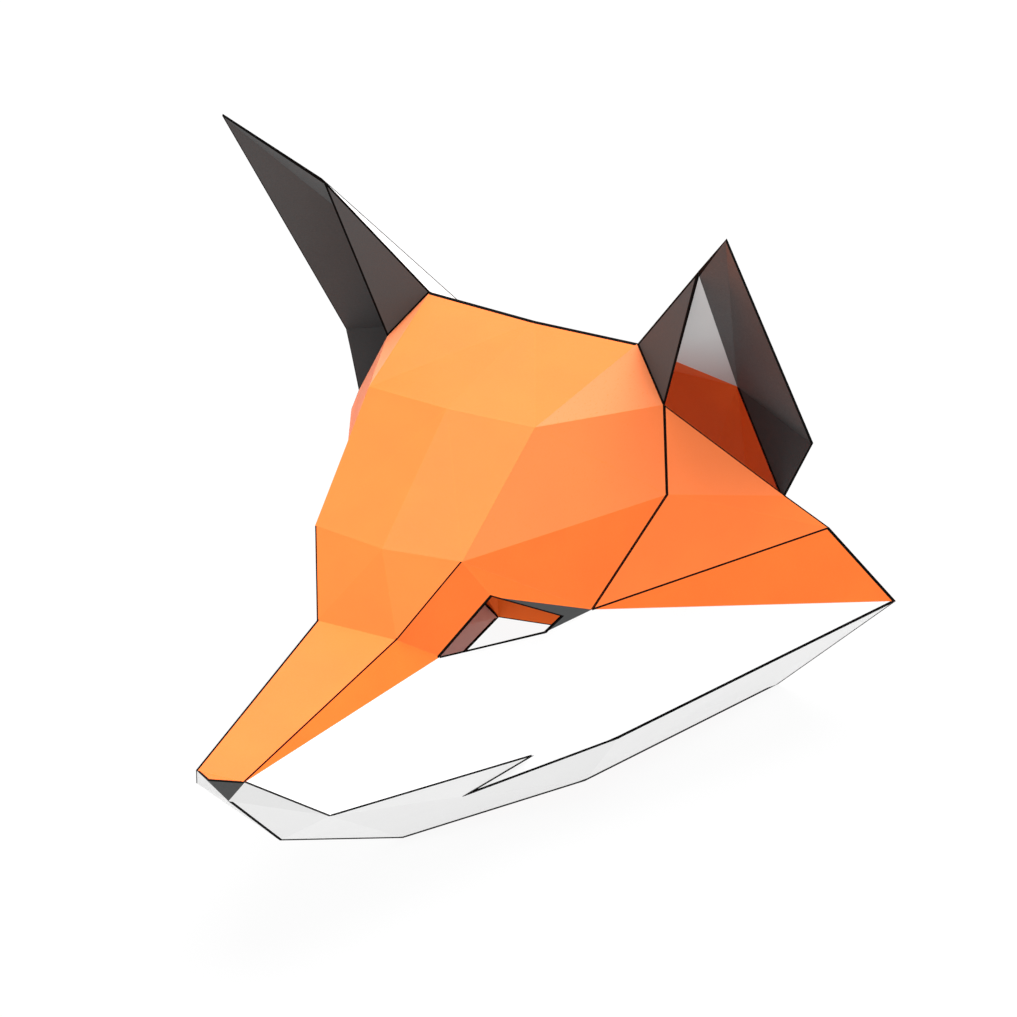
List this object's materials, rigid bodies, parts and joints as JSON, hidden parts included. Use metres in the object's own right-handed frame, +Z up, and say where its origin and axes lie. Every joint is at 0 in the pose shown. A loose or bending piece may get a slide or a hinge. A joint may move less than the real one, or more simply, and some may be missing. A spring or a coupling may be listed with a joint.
{
  "type": "paper fox mask",
  "caption": "Hollow faceted fox-head mask of folded orange, white and dark card, open at the neck, the eyes and the ear fronts, worn over the head.",
  "frame": {"origin": "on the surface that the neck rim stands on, under the middle of the mask's bounding box", "axes": "+Z up from the neck rim to the ears; +Y to the back of the head, so the fox looks along -Y; +X to the fox's left"},
  "size_m": [0.311, 0.4566, 0.3376],
  "materials": {
    "orange_card": "matte dyed card, the same orange on both faces, with dark drawn lines along the main folds and cut edges",
    "white_card": "matte white card, with dark drawn lines along the main folds and cut edges",
    "dark_card": "matte dark grey card"
  },
  "bodies": {
    "root": {"forehead": "orange_card", "snout_bridge": "orange_card", "snout_side_left": "orange_card", "snout_side_right": "orange_card", "side_left": "orange_card", "side_right": "orange_card", "crown_back": "orange_card", "back_side_left": "orange_card", "back_side_right": "orange_card", "nape": "orange_card", "cheek_left": "white_card", "cheek_right": "white_card", "under_cheek_left": "white_card", "under_cheek_right": "white_card", "jaw": "white_card", "nose": "dark_card", "eye_corner_left": "dark_card", "eye_corner_right": "dark_card", "ear_front_left": "dark_card", "ear_front_right": "dark_card", "ear_inner_left": "white_card", "ear_inner_right": "white_card", "ear_back_left": "dark_card", "ear_back_right": "dark_card"}
  },
  "joints": []
}
